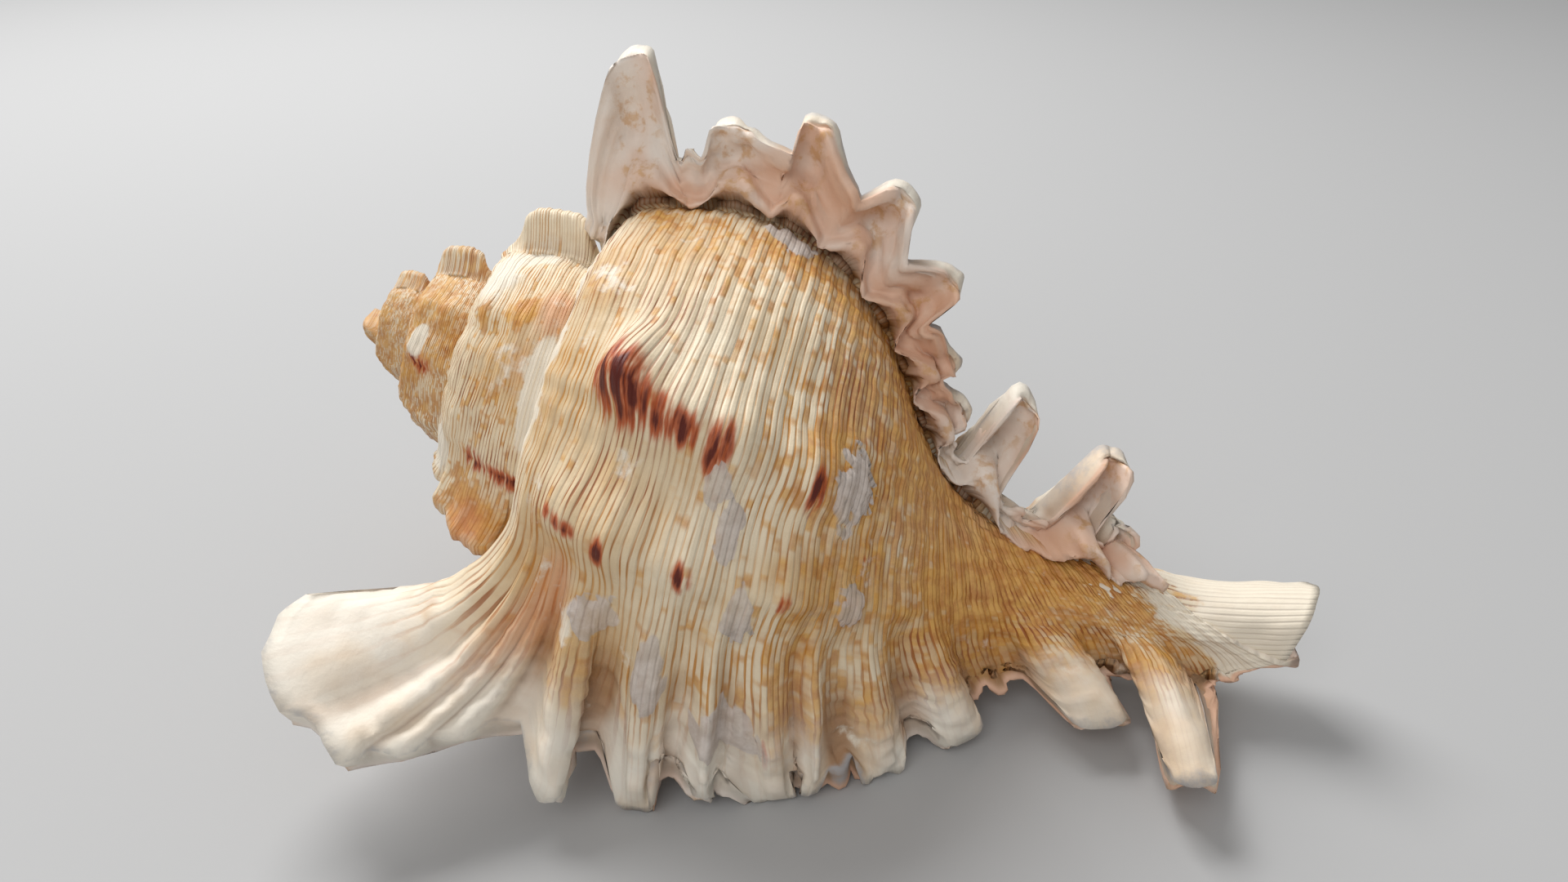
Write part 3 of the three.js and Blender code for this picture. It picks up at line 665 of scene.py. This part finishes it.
# Spire: the older whorls, each a smaller copy of the last, worn and chalky, with stubs of broken spines.
# It is filled to the axis, and the last whorl grows over all but its shoulder.
# Humps of worn flanges: flange number, then place, offset along and away from the axis, lean, half width
WORN_SPINES = {
    3: [(0.165, -2.5, 7, 0, 0.030), (0.235, -2.5, 11.5, 0, 0.050)],
    4: [(0.21, -4.5, 13.5, 0, 0.085)],
    7: [(0.20, -4.0, 14.0, 0, 0.100)],
    10: [(0.20, -3.0, 10.0, 0, 0.110)],
}
OLD_WEB_HEIGHT = 2.2
spire_s = np.r_[np.linspace(0, 0.4, 96), np.linspace(0.4, 1, 22)[1:]]
spire_blocks = []
begin = -1446.0
for old in range(11, 2, -1):
    stubs = WORN_SPINES.get(old, [])
    block, begin = third(spire_s, old, stubs, OLD_WEB_HEIGHT, begin, 26, 10, 13, covered=True)
    spire_blocks.append(block)
spire = stack(spire_blocks)
spire_u, spire_r, _, _ = outline(spire_s)
spire_turn = spire.value["turn"]
spire_axis = place(spire_turn, spire_u, 0 * spire_r)
spire_normal = grid_normals(spire.point, 1.0)
spire_normal = spire_normal * np.sign(np.sum(spire_normal[9:20] * (spire.point - spire_axis)[9:20]))
spire_size = GROWTH_RATIO ** (spire_turn / 360)
spire_band = smooth(spire_s, 0.08, 0.14)
spire_ledge = sum(top * smooth(at - spire_turn, 0, 2.5) * (1 - smooth(at - spire_turn, 2.5, 28))
                  for at, top in ((-380, 1.7), (-753, 2.4))) * spire_band
# Low knobs of the older whorls: turn, place, half sizes in turn and place, height
spire_knobs = 1.5 * bells(spire_turn, spire_s, [
    (-430, 0.136, 6, 0.024, 1.2), (-431, 0.216, 6, 0.026, 1.4), (-437, 0.285, 8, 0.034, 2.2),
    (-790, 0.15, 9, 0.04, 1.8), (-790, 0.25, 9, 0.04, 1.8)])
spire_rough = (0.9 * lumps(spire_turn / 9, spire_s * 17, 31) + 0.5 * lumps(spire_turn / 4, spire_s * 40, 32)
               + 0.25 * np.cos(2 * np.pi * spire_s * 43))
spire_wear = spire_ledge + spire_knobs + spire_rough
spire.point = spire.point + spire_normal * (spire_wear * spire_size)[..., None] * 0.001
top = place(spire_turn[:, :1], 46.0 + 0 * spire_turn[:, :1], 0.0)
end = place(spire_turn[:, :1], 180.0 + 0 * spire_turn[:, :1], 0.0)
spire_ring = np.concatenate([top, spire.point, end], axis=1)
spire_ring[..., 2] = np.maximum(spire_ring[..., 2], 0)
rows, columns = spire_ring.shape[:2]
old_middle = spire_ring[0, : columns // 2].mean(axis=0)
young_middle = spire_ring[-1].mean(axis=0)
apex_number = rows * columns
spire_points = np.vstack([spire_ring.reshape(-1, 3), old_middle, young_middle])
ring = np.arange(columns)
after = (ring + 1) % columns
spire_faces = ring_faces(rows, columns, False, True)
spire_faces += np.stack([ring, after, 0 * ring + apex_number], axis=1).tolist()
last_row = (rows - 1) * columns
spire_faces += np.stack([last_row + ring, last_row + after, 0 * ring + apex_number + 1], axis=1).tolist()
spire_values = finish_values(spire, spire_s[None, :], True)
spire_values = {k: np.r_[np.pad(v, ((0, 0), (1, 1)), mode="edge").ravel(), v[0, 0], v[-1, 0]]
                for k, v in spire_values.items()}
old_spire = put_mesh("spire", spire_points, spire_faces, spire_values)
old_spire.data.materials.append(lime_finish("lime_spire", True))
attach(old_spire, "root")
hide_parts("shell")

# Canal: the tube that carries the breathing siphon, of the same lime as the wall and open along a slit.
# Its wall thickens behind the mouth into the pillar of the shell.
CANAL_ENDS = (88.0, 173.0)
canal_rows = 70
canal_t = np.linspace(0, 1, canal_rows)[:, None]
canal_u = CANAL_ENDS[0] + (CANAL_ENDS[1] - CANAL_ENDS[0]) * canal_t
canal_bend = BEND_RATE * np.maximum(canal_u - BEND_START, 0) ** 2 - 4.6 * smooth(canal_u, 135, 173)
canal_radius = np.interp(canal_t, [0, 0.18, 0.8, 1], [4, 10.5, 7.2, 7.6])
slit = 1.6
sweep = np.linspace(0.0, 1.0, 40)[None, :]
outer_from = np.arcsin(slit / canal_radius)
outer_angle = outer_from + (2 * math.pi - 2 * outer_from) * sweep
bore_radius = 2.7 + 1.6 * smooth(canal_t, 0.9, 1.0)
bore_from = np.arcsin(slit / np.maximum(bore_radius, 1.7))
bore_angle = (2 * math.pi - bore_from) + (2 * bore_from - 2 * math.pi) * sweep
wobble = 0.5 * lumps(canal_t * 14, sweep * 9, 41) + 0.3 * lumps(canal_t * 30, sweep * 20, 42)
outer_radius = canal_radius + wobble
outer_part = np.stack([outer_radius * np.cos(outer_angle), outer_radius * np.sin(outer_angle)])
bore_part = np.stack([bore_radius * np.cos(bore_angle), bore_radius * np.sin(bore_angle)])
section = np.concatenate([outer_part, bore_part], axis=2)
open_angle = math.radians(-75.0)
canal_y = (-canal_bend * math.cos(math.radians(BEND_ANGLE)) - math.cos(open_angle) * section[0]
           + math.sin(open_angle) * section[1])
canal_z = (canal_bend * math.sin(math.radians(BEND_ANGLE)) + math.sin(open_angle) * section[0]
           + math.cos(open_angle) * section[1])
canal_end = 0.9 * lumps(sweep * 6, 0 * sweep, 43)
canal_shift = np.concatenate([canal_end, canal_end[:, ::-1] - 1.0], axis=1) * smooth(canal_t, 0.9, 1.0)
canal_point = settle(canal_u + canal_shift, canal_y, canal_z)
rows, columns = canal_point.shape[:2]
canal_faces = ring_faces(rows, columns, False, True)
pair = np.arange(39)
for base in (0, (rows - 1) * columns):
    cap = [base + pair, base + pair + 1, base + 78 - pair, base + 79 - pair]
    canal_faces += np.stack(cap, axis=1).tolist()
sweep_twice = np.concatenate([sweep, sweep[:, ::-1]], axis=1)
canal_inner = np.concatenate([0 * sweep, 1 + 0 * sweep], axis=1) + 0 * canal_t
canal_values = {k: 0 * canal_inner for k in ("height", "hollow_shade", "ridge", "maroon_and_shade", "rose", "front")}
canal_values["inside"] = np.maximum(canal_inner, 1 - smooth(canal_t, 0.3, 0.5))
canal_values["gold"] = 0.55 - 0.4 * smooth(canal_t, 0.75, 0.95) + 0 * canal_inner
canal_values["chalk"] = 0.3 + 0.4 * smooth(canal_t, 0.8, 1.0) + 0.2 * lumps(canal_t * 18, sweep_twice * 6, 44)
canal_values["crust"] = -1 + 0 * canal_inner
canal_values["line"] = 40 * sweep_twice + 0 * canal_t
canal_values["along"] = 80 * canal_t + 0 * canal_inner
canal = put_mesh("canal", canal_point.reshape(-1, 3), canal_faces, canal_values)
canal.data.materials.append(lime_finish("lime_canal", False))
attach(canal, "root")
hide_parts("shell")

# Inner lip: a smooth glaze of porcelain that the animal spread over the wall beside the mouth.
# It lies on the last whorl's start and on the spire, thin at its edges.
glaze_turn = np.linspace(-402, -312, 60)[:, None]
glaze_s = np.linspace(0.26, 0.97, 80)[None, :]
glaze_u, glaze_r, glaze_nu, glaze_nr = outline(glaze_s)
glaze_rim = -332 + 9 * np.sin(glaze_s * 5.2) + 2.5 * lumps(glaze_s * 14, 0 * glaze_s, 51)
glaze_end = 0.33 + 0.0011 * (glaze_turn + 362) + 0.008 * lumps(glaze_turn / 7, 0 * glaze_turn, 52)
glaze_edge = (smooth(glaze_turn, -402, -385) * (1 - smooth(glaze_turn - glaze_rim, -7, 7))
              * smooth(glaze_s - glaze_end, -0.03, 0.03) * (1 - smooth(glaze_s, 0.90, 0.97)))
glaze_high = -1.6 + 4.0 * glaze_edge
glaze_top = place(glaze_turn, glaze_u + glaze_high * glaze_nu, glaze_r + glaze_high * glaze_nr)
glaze_under = place(glaze_turn, glaze_u - 1.9 * glaze_nu, glaze_r - 1.9 * glaze_nr)
glaze_point = np.concatenate([glaze_top, glaze_under[:, ::-1]], axis=1)
rows, columns = glaze_point.shape[:2]
glaze_faces = ring_faces(rows, columns, False, True)
pair = np.arange(79)
for base in (0, (rows - 1) * columns):
    cap = [base + pair, base + pair + 1, base + 158 - pair, base + 159 - pair]
    glaze_faces += np.stack(cap, axis=1).tolist()
glaze_zero = np.zeros((rows, columns))
glaze_values = {k: glaze_zero for k in ("height", "front", "hollow_shade", "ridge", "maroon_and_shade", "gold", "rose", "chalk",
                                        "line", "along")}
glaze_values["inside"] = glaze_zero + 1
glaze_values["crust"] = glaze_zero - 1
inner_lip = put_mesh("inner_lip", glaze_point.reshape(-1, 3), glaze_faces, glaze_values)
inner_lip.data.materials.append(lime_finish("porcelain_inner_lip", False))
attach(inner_lip, "root")
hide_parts("shell")

# Studio: a pale floor that sweeps away behind, soft light from above, and the camera of the photograph.
floor_mesh = bpy.data.meshes.new("floor")
floor_corners = [(-6, -6, -0.0002), (6, -6, -0.0002), (6, 6, -0.0002), (-6, 6, -0.0002)]
floor_mesh.from_pydata(floor_corners, [], [(0, 1, 2, 3)])
floor = bpy.data.objects.new("floor", floor_mesh)
bpy.context.scene.collection.objects.link(floor)
floor_finish = Finish("pale_floor")
floor_finish.surface.inputs["Base Color"].default_value = paint(178, 178, 178)
floor_finish.surface.inputs["Roughness"].default_value = 0.9
floor_finish.surface.inputs["Specular IOR Level"].default_value = 0.1
floor_mesh.materials.append(floor_finish.material)

world = bpy.data.worlds.new("soft_room")
bpy.context.scene.world = world
world.use_nodes = True
world.node_tree.nodes["Background"].inputs[0].default_value = (0.9, 0.9, 0.9, 1)
world.node_tree.nodes["Background"].inputs[1].default_value = 0.42


def soft_lamp(name, spot, aim, size, power):
    """A square soft lamp at a spot, turned to its aim."""
    lamp = bpy.data.lights.new(name, "AREA")
    lamp.size = size
    lamp.energy = power
    holder = bpy.data.objects.new(name, lamp)
    holder.location = spot
    holder.rotation_euler = (Vector(aim) - Vector(spot)).to_track_quat("-Z", "Y").to_euler()
    bpy.context.scene.collection.objects.link(holder)


soft_lamp("key", (-0.38, 0.55, 0.85), (0, 0, 0.04), 0.6, 12.0)
soft_lamp("fill", (-0.3, -0.75, 0.75), (0, 0, 0.04), 0.7, 3.6)

camera = bpy.data.cameras.new("camera")
camera.lens = 27.82
camera.sensor_width = 36
camera.clip_start = 0.01
camera_holder = bpy.data.objects.new("camera", camera)
camera_holder.location = (-0.004846, -0.189147, 0.147241)
target = Vector((-0.004846, 0.003583, 0.035968))
camera_holder.rotation_euler = (target - camera_holder.location).to_track_quat("-Z", "Y").to_euler()
bpy.context.scene.collection.objects.link(camera_holder)
bpy.context.scene.camera = camera_holder
bpy.context.scene.view_settings.view_transform = "Standard"
